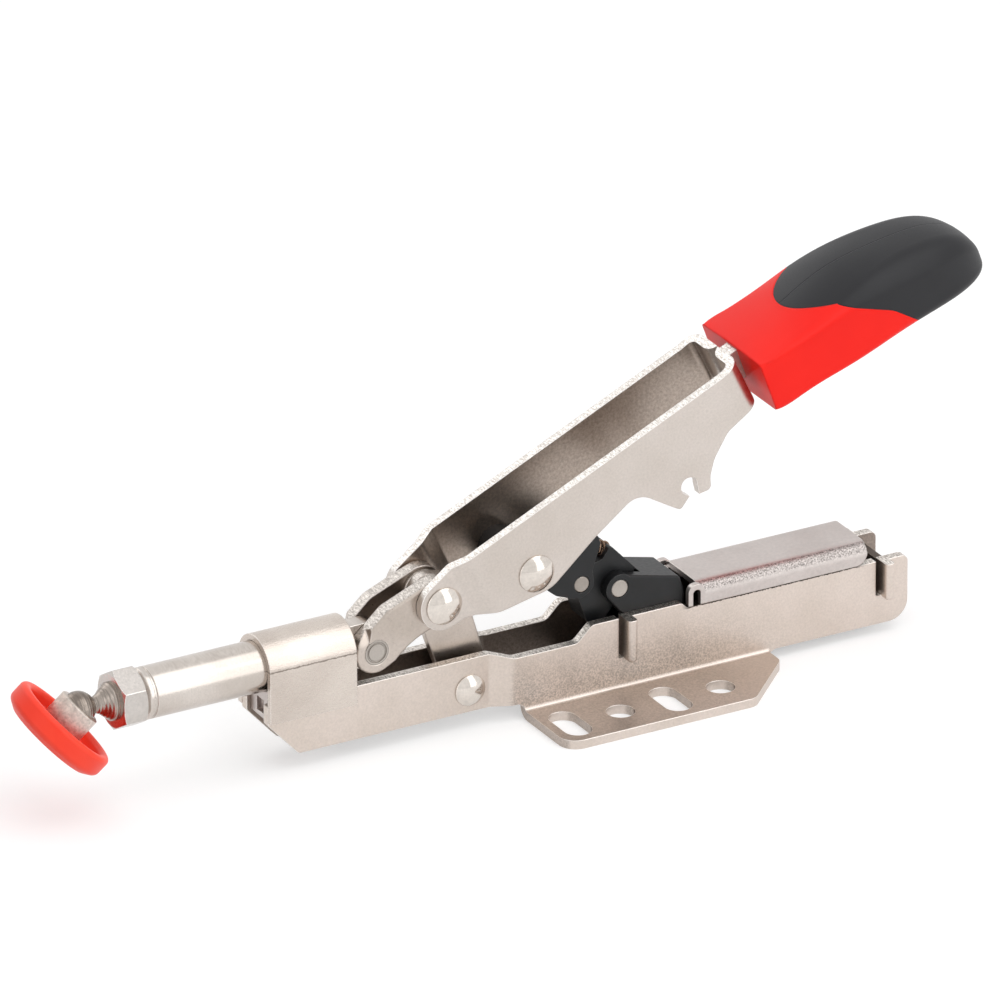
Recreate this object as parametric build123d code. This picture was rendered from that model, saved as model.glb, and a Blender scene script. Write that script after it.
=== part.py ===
"""Push-pull toggle clamp with horizontal base, self-adjusting thrust link and swivel foot.

Millimetres, +Z up.  The origin is the centre of the four-by-two hole pattern on the
underside of the flanges.  -X is the plunger's end, +X the handle's end and -Y the left side.
Shapes below are drawn from the collar's front plane (x) and the plunger's axis height (z);
X0 and Z0 put them in the part's own frame.
"""
import math
import os

from build123d import *

os.makedirs("parts", exist_ok=True)

# ---------------------------------------------------------------- driving dimensions
X0, Z0 = -95.0, 26.0          # collar's front plane, plunger's axis datum above the base
ZP = 0.4                      # plunger's axis above that datum
FIT = 0.05                    # radial running clearance

PLATE_T = 2.3                 # body and handle sheet
NARROW, WIDE = 6.4, 8.7       # body's outer half widths, front and rear
COVER_T, COLLAR_T = 1.5, 1.5

PLUNGER_R = 6.35
BODY_PIVOT = (54.8, -16.0)    # rocker on the body
TOP_PIVOT = (46.5, 8.9)       # handle, rocker and toggle links
THRUST_PIVOT = (70.4, 12.7)   # handle and thrust lever
LINK_PIVOT = (29.7, -0.4)     # toggle links and plunger
KNEE_PIVOT = (85.4, 4.5)      # thrust lever and wedge
CARRIAGE_PIVOT = (95.8, 1.0)  # wedge and carriage

RIVET_R, RIVET_HEAD_R = 3.0, 4.7
BODY_RIVET_R, BODY_HEAD_R = 2.9, 4.0
KNEE_PIN_R, CARRIAGE_PIN_R = 2.1, 2.3
LINK_PIN_R, LINK_PIN_WAIST_R = 3.15, 2.0
LINK_IN, LINK_OUT = 2.35, 6.25

FLANGE_OUT = 29.5             # flange edge from the middle plane
HOLE_Y, HOLE_R = 20.1, 3.5
ROUND_HOLES = (88.15, 115.55)
SLOT_HOLES = (74.45, 101.85)
SLOT_LEN = 14.0

NUT_AF, NUT_X = 13.3, (-38.5, -32.1)
BALL_X, BALL_R = -47.4, 4.3
FOOT_DIR = (-0.690, 0.170, -0.704)
CAP_R = 13.9

HANDLE_ANGLE = 25.9
GRIP_ANGLE = 20.0
GRIP_FRONT = (132.4, 48.3)


# ---------------------------------------------------------------- helpers
def flat(points):
    """Closed flat face; a third value at a point rounds that corner."""
    n = len(points)
    corners = []
    for i, p in enumerate(points):
        b = Vector(p[0], p[1])
        a = Vector(*points[i - 1][:2])
        c = Vector(*points[(i + 1) % n][:2])
        r = p[2] if len(p) > 2 else 0
        if not r:
            corners.append((b, b, b))
            continue
        u, v = (a - b).normalized(), (c - b).normalized()
        half = math.radians(u.get_angle(v)) / 2
        t = r / math.tan(half)
        centre = b + (u + v).normalized() * (r / math.sin(half))
        corners.append((b + u * t, centre + (b - centre).normalized() * r, b + v * t))
    edges = []
    for i in range(n):
        p, m, q = corners[i]
        if (p - q).length > 1e-6:
            edges.append(ThreePointArc(p, m, q))
        nxt = corners[(i + 1) % n][0]
        if (nxt - q).length > 1e-6:
            edges.append(Line(q, nxt))
    return make_face(edges)


def strip(path, t):
    """Bent sheet seen on edge: a centre line with bend radii, thickened by t."""
    pts = [Vector(p[0], p[1]) for p in path]
    rad = [p[2] if len(p) > 2 else 0 for p in path]
    sides = []
    for s in (1, -1):
        out = []
        for i, p in enumerate(pts):
            d0 = (p - pts[i - 1]).normalized() if i else None
            d1 = (pts[i + 1] - p).normalized() if i < len(pts) - 1 else None
            if d0 is None or d1 is None:
                d = d1 if d0 is None else d0
                out.append((p.X - d.Y * s * t / 2, p.Y + d.X * s * t / 2))
                continue
            n0, n1 = Vector(-d0.Y, d0.X), Vector(-d1.Y, d1.X)
            m = (n0 + n1).normalized()
            k = s * t / 2 / m.dot(n0)
            turn = d0.X * d1.Y - d0.Y * d1.X
            r = rad[i] - s * t / 2 * (1 if turn > 0 else -1) if rad[i] else 0
            out.append((p.X + m.X * k, p.Y + m.Y * k, max(r, 0.0)))
        sides.append(out)
    return flat(sides[0] + sides[1][::-1])


def side(points, y0, y1):
    """Outline in the X-Z plane cut through from y0 to y1."""
    f = Plane(origin=(X0, y0, Z0), x_dir=(1, 0, 0), z_dir=(0, -1, 0)) * flat(points)
    return extrude(f, amount=y1 - y0, dir=(0, 1, 0))


def plan(face, z0, z1):
    """Face in the X-Y plane raised from z0 to z1."""
    return extrude(Plane(origin=(X0, 0, Z0 + z0)) * face, amount=z1 - z0, dir=(0, 0, 1))


def section(face, x0, x1):
    """Face in the Y-Z plane carried from x0 to x1."""
    f = Plane(origin=(X0 + x0, 0, Z0), x_dir=(0, 1, 0), z_dir=(1, 0, 0)) * face
    return extrude(f, amount=x1 - x0, dir=(1, 0, 0))


def rod(centre, r, y0, y1):
    """Cylinder along Y."""
    x, z = centre
    return Pos(X0 + x, (y0 + y1) / 2, Z0 + z) * Rot(90, 0, 0) * Cylinder(r, y1 - y0)


def pin(centre, r, half, chamfer=0.35):
    """Plain cross pin with broken edges."""
    p = rod(centre, r, -half, half)
    return chamfer_ends(p, chamfer)


def chamfer_ends(p, c):
    ends = p.edges().filter_by(GeomType.CIRCLE)
    return chamfer_edges(ends, c)


def chamfer_edges(edges, c):
    return chamfer(edges, c)


def rivet(centre, half, r, head_r, head_h):
    """Double domed rivet: shank and two button heads that seat at +-half."""
    x, z = centre
    top, rim = half + 0.3 + head_h, half + 0.3
    ball = (head_r ** 2 + head_h ** 2) / (2 * head_h)
    half_arc = math.asin(head_r / ball) / 2
    mx, my = ball * math.sin(half_arc), top - ball * (1 - math.cos(half_arc))
    outline = [Line((0, -top), (0, top)),
               ThreePointArc((0, top), (mx, my), (head_r, rim)),
               Line((head_r, rim), (head_r, half)), Line((head_r, half), (r, half)),
               Line((r, half), (r, -half)), Line((r, -half), (head_r, -half)),
               Line((head_r, -half), (head_r, -rim)),
               ThreePointArc((head_r, -rim), (mx, -my), (0, -top))]
    return Pos(X0 + x, 0, Z0 + z) * revolve(make_face(outline), Axis.Y)


def turned(points, x_axis_z=ZP):
    """Part turned about the plunger's axis; points are (x, radius)."""
    f = Plane(origin=(X0, 0, Z0 + x_axis_z), x_dir=(1, 0, 0), z_dir=(0, -1, 0)) * flat(points)
    return revolve(f, Axis((0, 0, Z0 + x_axis_z), (1, 0, 0)))


def other_side(p):
    return mirror(p, Plane.XZ)


def eye(centre, r):
    return Pos(centre[0], centre[1]) * Circle(r)


def side_face(face, y0, y1):
    f = Plane(origin=(X0, y0, Z0), x_dir=(1, 0, 0), z_dir=(0, -1, 0)) * face
    return extrude(f, amount=y1 - y0, dir=(0, 1, 0))


# ---------------------------------------------------------------- body
def louver(x):
    """Outward-pressed stop tab beside a sheared slit, open at the plate's top edge."""
    bump = side([(x - 0.4, -4), (x + 2.0, -4), (x + 2.0, -16.6, 1.1), (x - 0.4, -16.6, 1.1)],
                WIDE - 0.6, WIDE + 3.0)
    outer = bump.edges().filter_by(Axis.Z).sort_by(Axis.Y)[-2:]
    bump = fillet(outer, 0.8)
    slit = side([(x - 1.7, -3), (x - 0.4, -3), (x - 0.4, -16.0), (x - 1.7, -16.0, 0.6)],
                WIDE - PLATE_T - 1, WIDE + 4)
    return bump, slit


def body_plate():
    """Right body plate: joggled side wall with its mounting flange bent outward."""
    top = [(0.2, -7.8, 0.6), (60, -7.8, 4), (66, -9.4, 4), (82.8, -9.4, 2.2), (86.8, -5.5, 2.2),
           (111.4, -5.5, 1.0), (112.8, -6.9, 0.8), (173.6, -6.9, 1.6)]
    bottom = [(173.6, -23.4, 5), (137.0, -23.4, 1.5), (135.4, -24.4), (135.4, -24.6),
              (68.5, -24.6), (68.5, -22.6, 0.8), (66.9, -21.65, 0.8), (8.4, -21.65, 1.5),
              (0.2, -12.7, 1.2)]
    wall = side(top + bottom, 0, 14)
    bend = strip([(-2, NARROW - PLATE_T / 2), (60.4, NARROW - PLATE_T / 2, 3),
                  (65.4, WIDE - PLATE_T / 2, 3), (176, WIDE - PLATE_T / 2)], PLATE_T)
    wall = wall & plan(bend, -26, 0)
    angle = strip([(WIDE - PLATE_T / 2, -18), (WIDE - PLATE_T / 2, -26 + PLATE_T / 2, 2.2),
                   (FLANGE_OUT + 1, -26 + PLATE_T / 2)], PLATE_T)
    flange = section(angle, 68.5, 135.4)
    tongue = flat([(68.5, 0), (68.5, FLANGE_OUT, 4.5), (119.9, FLANGE_OUT, 3.5),
                   (135.4, 14.2, 3), (135.4, 0)])
    flange = flange & plan(tongue, -27, -10)
    wall = wall - Pos(X0 + 101.95, 5, Z0 - 23) * Box(66.9, 12, 8) + flange
    for x in ROUND_HOLES:
        wall -= Pos(X0 + x, HOLE_Y, Z0 - 25) * Cylinder(HOLE_R, 8)
    for x in SLOT_HOLES:
        wall -= Pos(X0 + x, HOLE_Y, Z0 - 28) * extrude(SlotOverall(SLOT_LEN, 2 * HOLE_R, rotation=90), 8)
    wall -= rod(BODY_PIVOT, BODY_RIVET_R + 0.03, 0, 12)
    for x in (95.8, 166.5):
        bump, slit = louver(x)
        crop = side([(x - 3, -17.5), (x + 3, -17.5), (x + 3, -5.5 if x < 116 else -6.9),
                     (x - 3, -5.5 if x < 116 else -6.9)], 0, 14)
        wall = wall + (bump & crop) - slit
    return wall


def collar():
    """Saddle bent over the plunger and welded to the outside of both plates."""
    r_in = PLUNGER_R + 0.07
    r_out = r_in + COLLAR_T
    low = -11.8 - ZP
    outer = Circle(r_out) + Pos(0, low / 2) * Rectangle(2 * r_out, -low)
    inner = Circle(r_in) + Pos(0, low / 2 - 1) * Rectangle(2 * r_in, -low + 2)
    f = Pos(0, ZP) * (outer - inner)
    return section(f, 0, 23.4)


def guide_block():
    """Filler block that joins the plates under the plunger, with a cradle on top."""
    b = side([(1.2, -4.7, 0.5), (19.4, -4.7, 0.5), (19.4, -20.8, 0.6), (9.0, -20.8, 0.6),
              (1.2, -12.4, 0.6)], -4.05, 4.05)
    b -= Pos(X0 + 12, 0, Z0 + ZP) * Rot(0, 90, 0) * Cylinder(PLUNGER_R + 0.07, 30)
    b -= Pos(X0 + 1.2, -0.6, Z0 - 9.6) * Box(3.0, 3.4, 3.6)
    return b


def cover():
    """Pressed channel over the slide; each side wall starts with an arched hook on the plate."""
    y = WIDE - COVER_T / 2
    u = strip([(-y, -7.0), (-y, -1.5 - COVER_T / 2, 2.6), (y, -1.5 - COVER_T / 2, 2.6), (y, -7.0)], COVER_T)
    c = section(u, 116.2, 162.5)
    trim = side([(116.2, 1), (162.5, 1), (162.5, -6.9, 3.2), (116.2, -6.9, 1.6)], -12, 12)
    c = c & trim
    arch = flat([(113.3, -6.9), (113.3, -1.5, 2.1), (117.8, -1.5, 2.1), (117.8, -6.9)])
    arch -= flat([(114.5, -8.0), (114.5, -2.9, 1.0), (116.6, -2.9, 1.0), (116.6, -8.0)])
    hook = side_face(arch, WIDE - COVER_T, WIDE)
    window = side([(115.9, -8.0), (115.9, -2.9, 0.3), (116.6, -2.9, 1.0), (116.6, -8.0)], -12, 12)
    return c - window + hook + other_side(hook)


def slide_channel():
    """Floor of the slide with its end stop bent up between the plates."""
    p = strip([(86.0, -18.2), (168.6, -18.2, 2.4), (168.6, -8.6)], 2.0)
    f = Plane(origin=(X0, -6.38, Z0), x_dir=(1, 0, 0), z_dir=(0, -1, 0)) * p
    return extrude(f, amount=12.76, dir=(0, 1, 0))


def rocker_spacer():
    x, z = BODY_PIVOT
    return rod(BODY_PIVOT, 5.0, 1.35, 4.08) - rod(BODY_PIVOT, BODY_RIVET_R + 0.03, 0, 6)


# ---------------------------------------------------------------- plunger and foot
def plunger():
    """Turned plunger; its rear end is milled to a tongue with the pivot slot."""
    p = turned([(-31.7, 0), (-31.7, PLUNGER_R - 0.7), (-31.0, PLUNGER_R), (-29.9, PLUNGER_R),
                (-29.9, PLUNGER_R - 0.35), (-29.2, PLUNGER_R - 0.35), (-29.2, PLUNGER_R),
                (21.2, PLUNGER_R), (21.6, PLUNGER_R - 0.4), (21.6, 0)])
    p -= Pos(X0 - 24, 0, Z0 + ZP) * Rot(0, 90, 0) * Cylinder(4.05, 16)
    tongue = side([(21.0, 5.9, 0.6), (31.2, 5.9, 3.8), (35.6, 0.4, 3.8), (31.2, -5.6, 3.8),
                   (21.0, -5.6, 0.6)], -2.2, 2.2)
    x, z = LINK_PIVOT
    slot = side([(x - 2.5, z + 3.7, 2.0), (x + 2.9, z + 3.7, 2.0), (x + 2.9, z - 4.1, 2.0),
                 (x - 2.5, z - 4.1, 2.0)], -5, 5)
    return p + tongue - slot


def ball_spindle():
    """Screwed spindle with a waisted neck and a ball end."""
    x = BALL_X
    ball = Pos(X0 + x, 0, Z0 + ZP) * Sphere(BALL_R)
    stem = turned([(x + 2.5, 0), (x + 2.5, 1.9), (-43.4, 1.9, 1.2), (-42.0, 2.5, 3), (-39.4, 4.7, 0.3),
                   (-38.5, 4.7), (-38.5, 4.0), (-17.0, 4.0), (-16.4, 3.4), (-16.4, 0)])
    return ball + stem


def lock_nut():
    """Hexagon lock nut, chamfered both ends, on the spindle."""
    r = NUT_AF / math.sqrt(3)
    x0, x1 = NUT_X
    hexagon = section(Pos(0, ZP) * RegularPolygon(r, 6, rotation=28.5), x0, x1)
    envelope = turned([(x0, 0), (x0, NUT_AF / 2), (x0 + 0.6, r + 0.05), (x1 - 0.6, r + 0.05),
                       (x1, NUT_AF / 2), (x1, 0)])
    return (hexagon & envelope) - Pos(X0 + (x0 + x1) / 2, 0, Z0 + ZP) * Rot(0, 90, 0) * Cylinder(4.03, 10)


def on_foot_axis(points):
    """Part turned about the swivel foot's axis; points are (distance from the ball, radius)."""
    d = Vector(*FOOT_DIR).normalized()
    origin = Vector(X0 + BALL_X, 0, Z0 + ZP)
    pl = Plane(origin=origin, x_dir=d, z_dir=d.cross(Vector(0, 1, 0)).normalized())
    return revolve(pl * flat(points), Axis(origin, d))


def swivel_foot():
    """Steel socket, rolled over the ball, with the disc that carries the cap."""
    foot = on_foot_axis([(-1.0, 0), (-1.0, 4.9, 0.3), (-0.7, 5.4, 0.3), (7.4, 5.4), (7.4, 9.6),
                         (8.9, 9.6), (8.9, 0)])
    return foot - Pos(X0 + BALL_X, 0, Z0 + ZP) * Sphere(BALL_R + FIT)


def foot_cap():
    """Soft cup-shaped cap pressed over the foot's disc."""
    cap = on_foot_axis([(10.5, 0), (10.2, CAP_R - 2.6, 1.2), (8.6, CAP_R, 1.8), (3.7, CAP_R, 1.2),
                        (3.7, CAP_R - 2.7, 1.2), (7.0, CAP_R - 2.8, 0.8), (7.0, 5.45), (7.4, 5.45),
                        (7.4, 9.65), (8.9, 9.65), (8.9, 0)])
    return cap


# ---------------------------------------------------------------- toggle linkage
def toggle_link():
    """Right banana link between the top pivot and the plunger, with its nose turned to clear
    the collar."""
    rim = eye(LINK_PIVOT, 5.5).edges() + eye((35.5, 5.0), 5.4).edges() + eye(TOP_PIVOT, 5.9).edges()
    f = make_hull(rim) - eye((51.0, -18.9), 22.0)
    link = side_face(f, LINK_IN, LINK_OUT)
    link = fillet(link.edges().filter_by(lambda e: abs(e.center().Y - LINK_OUT) < 1e-3), 0.8)
    nose = Pos(X0 + 23.9, 6, Z0 + ZP + 6) * Box(9.6, 12, 12)
    nose -= turned([(15, 0), (15, PLUNGER_R - 0.1), (27.7, PLUNGER_R - 0.1), (28.9, 9.0), (28.9, 0)])
    link -= nose
    link -= rod(LINK_PIVOT, LINK_PIN_R + 0.03, 0, 8) + rod(TOP_PIVOT, RIVET_R + FIT, 0, 8)
    return link


def link_pin():
    """Stepped pin through both links; the waist runs in the plunger's slot."""
    p = rod(LINK_PIVOT, LINK_PIN_R, -LINK_OUT, LINK_OUT)
    waist = rod(LINK_PIVOT, LINK_PIN_R + 1, -LINK_IN, LINK_IN) - rod(LINK_PIVOT, LINK_PIN_WAIST_R, -3, 3)
    p -= waist
    for y in (-LINK_OUT, LINK_OUT):
        ring = rod(LINK_PIVOT, 2.6, y - 0.25, y + 0.25) - rod(LINK_PIVOT, 2.2, y - 1, y + 1)
        p -= ring
    return p


def rocker():
    """Flat rocker on the body pivot that carries the top pivot."""
    bx, bz = BODY_PIVOT
    tx, tz = TOP_PIVOT
    f = flat([(41.2, 9.5, 4), (43.5, 4.5, 3), (49.9, -13.3, 3), (50.5, -20.9, 4.5), (60.5, -20.9, 4.5),
              (62.6, -13.5, 3), (57.4, 4.0, 4), (52.3, 13.0, 4), (44.0, 14.8, 4)])
    p = side_face(f, -1.25, 1.25)
    return p - rod(BODY_PIVOT, BODY_RIVET_R + FIT, -3, 3) - rod(TOP_PIVOT, RIVET_R + 0.03, -3, 3)


def rocker_washer():
    return rod(TOP_PIVOT, 5.2, 1.27, 2.3) - rod(TOP_PIVOT, RIVET_R + 0.03, 0, 4)


# ---------------------------------------------------------------- handle
def along_handle(s, h):
    a = math.radians(HANDLE_ANGLE)
    x, z = TOP_PIVOT
    return (x + s * math.cos(a) - h * math.sin(a), z + s * math.sin(a) + h * math.cos(a))


def handle_cheek():
    """Right handle cheek: joggled nose, hooked underside, and a rear end folded in to a tang."""
    a = math.radians(HANDLE_ANGLE)
    nose = flat([(42.74, 13.83), (48.6, 18.3, 3), (52.65, 20.5, 3), (121.3, 52.2, 8),
                 along_handle(91.6, 6.9), along_handle(91.6, 4.4), along_handle(118, 4.4),
                 along_handle(118, -3.6), along_handle(91.6, -3.6), along_handle(91.6, -5.9) + (1.0,),
                 along_handle(88.6, -6.3) + (1.5,), (122.7, 37.7, 5), (119.0, 31.6, 8),
                 (117.9, 27.4, 6), (118.1, 23.9, 1.3), (114.9, 23.3, 0.3), (112.2, 23.3, 0.3),
                 (109.8, 20.3, 1.0), (107.4, 21.6, 1.2), (98.0, 27.2, 5.5), (86.6, 18.6, 8),
                 (74.6, 7.9, 9), (61.5, 5.0, 12), (52.0, 4.4, 6), (48.3, 2.97), TOP_PIVOT])
    catch = eye((112.1, 26.0), 2.2) + flat([(112.3, 22.5), (112.3, 23.3), (110.4, 24.6), (112.1, 26.0),
                                            (114.25, 26.0), (114.9, 23.2), (114.9, 22.5)])
    f = nose + eye(TOP_PIVOT, 6.2) - catch
    cheek = side_face(f, 0, 14)
    bend = strip([(-14, NARROW + PLATE_T / 2), (6.0, NARROW + PLATE_T / 2, 2.5),
                  (10.4, NARROW + 2.1 + PLATE_T / 2, 2.5), (90.45, NARROW + 2.1 + PLATE_T / 2, 2.9),
                  (90.45, PLATE_T / 2 + 0.01, 2.2), (119, PLATE_T / 2 + 0.01)], PLATE_T)
    pl = Plane(origin=(X0 + TOP_PIVOT[0], 0, Z0 + TOP_PIVOT[1]),
               x_dir=(math.cos(a), 0, math.sin(a)), z_dir=(-math.sin(a), 0, math.cos(a)))
    sheet = extrude(pl * bend, amount=40, both=True)
    cheek = cheek & sheet
    cheek -= rod(TOP_PIVOT, RIVET_R + FIT, 0, 14) + rod(THRUST_PIVOT, RIVET_R + 0.03, 0, 14)
    return cheek


def pivot_sleeve():
    return rod(THRUST_PIVOT, 5.1, 3.4, 8.46) - rod(THRUST_PIVOT, RIVET_R + 0.03, 0, 14)


def grip_plane(s, t=0.0):
    a = math.radians(GRIP_ANGLE)
    e, n = (math.cos(a), math.sin(a)), (-math.sin(a), math.cos(a))
    x = X0 + GRIP_FRONT[0] + s * e[0] + t * n[0]
    z = Z0 + GRIP_FRONT[1] + s * e[1] + t * n[1]
    return Plane(origin=(x, 0, z), x_dir=(0, 1, 0), z_dir=(e[0], 0, e[1]))


def grip_section(s, w, low, eave, crown, r_low, r_high):
    f = make_face([Line((-w, low), (w, low)), Line((w, low), (w, eave)),
                   ThreePointArc((w, eave), (0, crown), (-w, eave)),
                   Line((-w, eave), (-w, low))])
    v = f.vertices().sort_by(Axis.Y)
    f = fillet(v[:2], r_low)
    v = [q for q in f.vertices() if abs(q.Y - eave) < 1e-4 and abs(abs(q.X) - w) < 1e-4]
    f = fillet(v, r_high)
    return grip_plane(s) * f


def grip_body():
    """Moulded handgrip: square at the front, full and rounded behind, drooping to a lip."""
    rows = [(-0.5, 14.0, -6.6, 6.9, 7.3, 0.9, 1.0), (9, 14.0, -6.9, 7.1, 8.6, 1.0, 1.4),
            (19, 14.0, -7.1, 7.7, 10.7, 1.3, 2.4), (29, 13.9, -7.3, 8.6, 11.9, 1.8, 4.2),
            (40, 13.4, -7.5, 9.0, 10.9, 2.4, 6.2), (50, 12.3, -8.6, 7.6, 9.0, 3.0, 6.2),
            (57, 10.5, -9.4, 5.2, 6.6, 3.0, 5.2), (62, 7.9, -9.6, 1.4, 2.9, 2.6, 3.8),
            (65, 4.4, -8.8, -3.4, -2.6, 1.6, 1.6)]
    faces = [grip_section(*r) for r in rows]
    return loft(Sketch() + faces)


def overmould_region():
    """Space of the soft overmould: a pointed tongue on top and everything behind a slope."""
    a = math.radians(GRIP_ANGLE)
    pl = Plane(origin=grip_plane(0).origin, x_dir=(math.cos(a), 0, math.sin(a)), z_dir=(0, -1, 0))
    back = flat([(27.2, 6.6), (24, 9), (24, 30), (80, 30), (80, -30), (60, -30), (42.1, -7.4, 6),
                 (36.2, 0.0, 12)])
    back = extrude(pl * back, amount=30, both=True)
    top = Plane(origin=grip_plane(0, 6.6).origin, x_dir=(math.cos(a), 0, math.sin(a)),
                z_dir=(-math.sin(a), 0, math.cos(a)))
    tongue = make_face([Spline((29, -15.2), (27, -13.6), (22.3, -11), (18.4, -8), (15.4, -4), (14.5, 0),
                               (15.4, 4), (18.4, 8), (22.3, 11), (27, 13.6), (29, 15.2)),
                        Polyline((29, 15.2), (75, 15.2), (75, -15.2), (29, -15.2))])
    return back + extrude(top * tongue, amount=30)


def grips():
    whole = grip_body()
    a = math.radians(HANDLE_ANGLE)
    x, z = along_handle(105.5, 0.4)
    socket = Pos(X0 + x, 0, Z0 + z) * Rot(0, -HANDLE_ANGLE, 0) * Box(25.4, 2 * PLATE_T + 0.1, 8.2)
    region = overmould_region()
    return whole - region - socket, (whole & region) - socket


# ---------------------------------------------------------------- self-adjusting thrust link
def thrust_lever():
    """Forked lever between the handle and the knee; its arm carries the spring."""
    f = flat([(76.4, 4.7, 0.5), (78.4, 3.1, 0.6), (83.2, 1.3, 2), (85.6, 0.9, 2.5), (88.8, 3.2, 2.6),
              (88.3, 7.6, 3), (90.5, 14.2, 0.5), (89.7, 16.4, 0.6), (84.8, 17.4, 1.2), (79.9, 15.2, 1.0),
              (76.0, 8.0, 0.8)])
    f -= eye(THRUST_PIVOT, 9.6)
    p = side_face(f, -6.3, 6.3)
    fork = flat([(84.2, 9.4, 1.2), (94, 9.4), (94, -3), (82.6, -3), (80.4, 3.0, 1.5), (80.6, 7.2, 1.5)])
    p -= side_face(fork, -3.6, 3.6)
    p -= rod(KNEE_PIVOT, KNEE_PIN_R + FIT, -8, 8)
    return p


SPRING_A, SPRING_B = (89.4, 11.6), (96.2, 8.4)     # seats on the lever and in the wedge
SPRING_R, SPRING_WIRE = 1.75, 0.36


def spring_axis():
    d = Vector(SPRING_B[0] - SPRING_A[0], 0, SPRING_B[1] - SPRING_A[1])
    return Plane(origin=(X0 + SPRING_A[0], 0, Z0 + SPRING_A[1]), x_dir=(0, 1, 0), z_dir=d), d.length


def wedge_lever():
    """Wedge between knee and carriage with a blind spring pocket."""
    f = flat([(82.4, 5.2, 2.2), (84.6, 8.2, 2.0), (88.6, 7.4, 1.5), (92.6, 8.4, 0.6), (94.8, 11.4, 0.7),
              (101.5, 4.2, 0.4), (99.4, -1.0, 2.5), (96.4, -3.4, 2.5), (92.6, -7.6, 1.5),
              (88.4, -7.4, 1.5), (85.6, 0.9, 3)])
    f += eye(KNEE_PIVOT, 3.3) + eye(CARRIAGE_PIVOT, 3.7)
    p = side_face(f, -3.5, 3.5)
    pl, length = spring_axis()
    p -= pl * Pos(0, 0, length / 2 + 1.2) * Cylinder(2.25, length - 2.4)
    p -= rod(KNEE_PIVOT, KNEE_PIN_R + FIT, -8, 8) + rod(CARRIAGE_PIVOT, CARRIAGE_PIN_R + FIT, -8, 8)
    return p


def coil_spring():
    """Compression spring between lever arm and wedge."""
    pl, length = spring_axis()
    turns, run = 5.0, length - 1.0
    path = Helix(pitch=run / turns, height=run, radius=SPRING_R)
    wire = Plane(origin=path @ 0, z_dir=path % 0) * Circle(SPRING_WIRE)
    coil = sweep(wire, path=path)
    return pl * Pos(0, 0, 0.5) * coil


def carriage():
    """Sliding carriage: sloping top, rounded fork round the wedge's eye."""
    f = flat([(95.2, 4.65), (112.2, 0.55, 1.2), (113.4, -3.0, 0.3), (113.4, -17.1, 0.6),
              (99.0, -17.1, 0.6), (97.0, -6.4, 0.8), (93.1, -1.6), CARRIAGE_PIVOT])
    f += eye(CARRIAGE_PIVOT, 3.7)
    p = side_face(f, -6.3, 6.3)
    top = [e for e in p.edges() if abs(e.center().Z - (Z0 + 2.6)) < 0.6 and abs(abs(e.center().Y) - 6.3) < 1e-3]
    if top:
        p = fillet(top, 0.5)
    fork = eye(CARRIAGE_PIVOT, 7.2) + flat([(84, 8), (98, 10), (101, 6), (101, -12), (84, -12)])
    p -= side_face(fork, -3.7, 3.7)
    return p - rod(CARRIAGE_PIVOT, CARRIAGE_PIN_R + 0.03, -8, 8)


# ---------------------------------------------------------------- all pieces
def build():
    plate, spacer, cheek = body_plate(), rocker_spacer(), handle_cheek()
    link, washer, sleeve = toggle_link(), rocker_washer(), pivot_sleeve()
    core, soft = grips()
    return {
        "body_plate_right": plate,
        "body_plate_left": other_side(plate),
        "collar": collar(),
        "guide_block": guide_block(),
        "cover": cover(),
        "slide_channel": slide_channel(),
        "body_rivet": rivet(BODY_PIVOT, NARROW + 0.02, BODY_RIVET_R, BODY_HEAD_R, 1.5),
        "rocker_spacer_right": spacer,
        "rocker_spacer_left": other_side(spacer),
        "plunger": plunger(),
        "ball_spindle": ball_spindle(),
        "lock_nut": lock_nut(),
        "swivel_foot": swivel_foot(),
        "foot_cap": foot_cap(),
        "toggle_link_right": link,
        "toggle_link_left": other_side(link),
        "link_pin": link_pin(),
        "rocker": rocker(),
        "rocker_washer_right": washer,
        "rocker_washer_left": other_side(washer),
        "front_rivet": rivet(TOP_PIVOT, NARROW + PLATE_T + FIT, RIVET_R, RIVET_HEAD_R, 1.9),
        "handle_cheek_right": cheek,
        "handle_cheek_left": other_side(cheek),
        "rear_rivet": rivet(THRUST_PIVOT, NARROW + 2.1 + PLATE_T + 0.02, RIVET_R, RIVET_HEAD_R, 1.9),
        "pivot_sleeve_right": sleeve,
        "pivot_sleeve_left": other_side(sleeve),
        "grip_core": core,
        "grip_overmould": soft,
        "thrust_lever": thrust_lever(),
        "wedge_lever": wedge_lever(),
        "knee_pin": pin(KNEE_PIVOT, KNEE_PIN_R, 6.3, 0.25),
        "coil_spring": coil_spring(),
        "carriage": carriage(),
        "carriage_pin": pin(CARRIAGE_PIVOT, CARRIAGE_PIN_R, 6.3, 0.25),
    }


for name, shape in build().items():
    export_step(shape if isinstance(shape, Part) else Part() + shape, f"parts/{name}.step")
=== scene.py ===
import math

import bpy
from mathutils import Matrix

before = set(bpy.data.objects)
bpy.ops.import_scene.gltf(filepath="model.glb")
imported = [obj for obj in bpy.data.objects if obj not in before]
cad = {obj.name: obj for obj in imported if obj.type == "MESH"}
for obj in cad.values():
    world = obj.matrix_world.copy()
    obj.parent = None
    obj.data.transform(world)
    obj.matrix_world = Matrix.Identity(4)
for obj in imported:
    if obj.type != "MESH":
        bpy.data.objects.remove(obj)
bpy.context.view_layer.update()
bpy.ops.object.select_all(action="DESELECT")


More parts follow.
